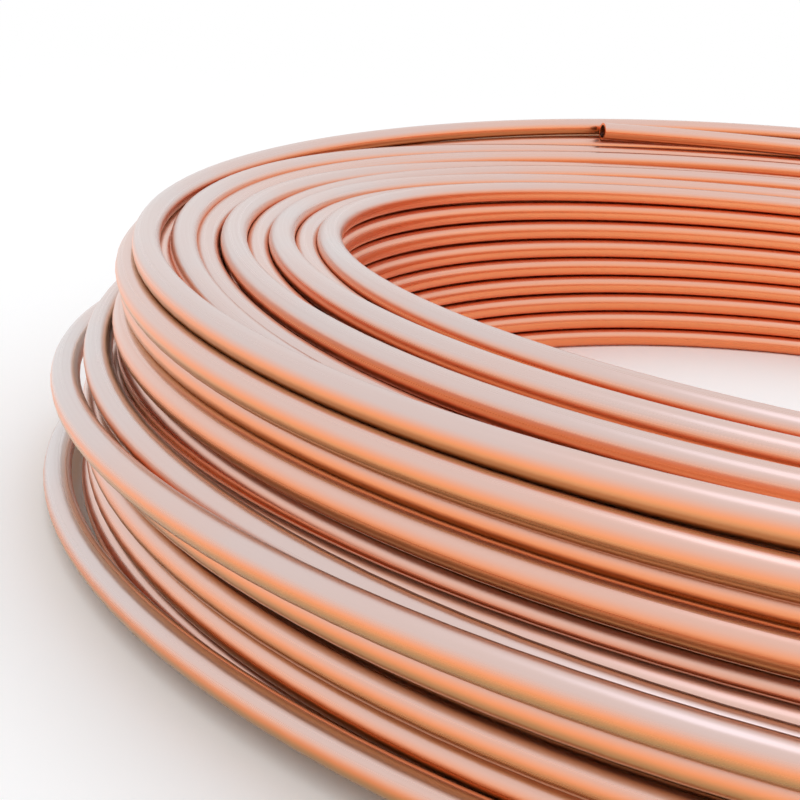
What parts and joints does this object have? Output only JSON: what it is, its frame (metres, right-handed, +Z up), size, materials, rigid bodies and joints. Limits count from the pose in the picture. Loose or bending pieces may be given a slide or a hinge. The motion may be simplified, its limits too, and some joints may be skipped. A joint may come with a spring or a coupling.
{
  "type": "copper tube coil",
  "caption": "Coil of bare soft copper tube lying flat, wound in stacked turns round an open eye, with one cut tube end on top; stock for refrigerant and water lines.",
  "frame": {"origin": "centre of the coil's eye on the floor that the coil lies on", "axes": "+Z up along the coil's winding axis; +Y towards the side of the coil where the tube's cut end lies; +X to the right of that"},
  "size_m": [0.4376, 0.4376, 0.083],
  "materials": {
    "copper": "drawn soft copper, satin, lightly tarnished"
  },
  "bodies": {
    "root": {"copper_tube_coil": "copper"}
  },
  "joints": []
}
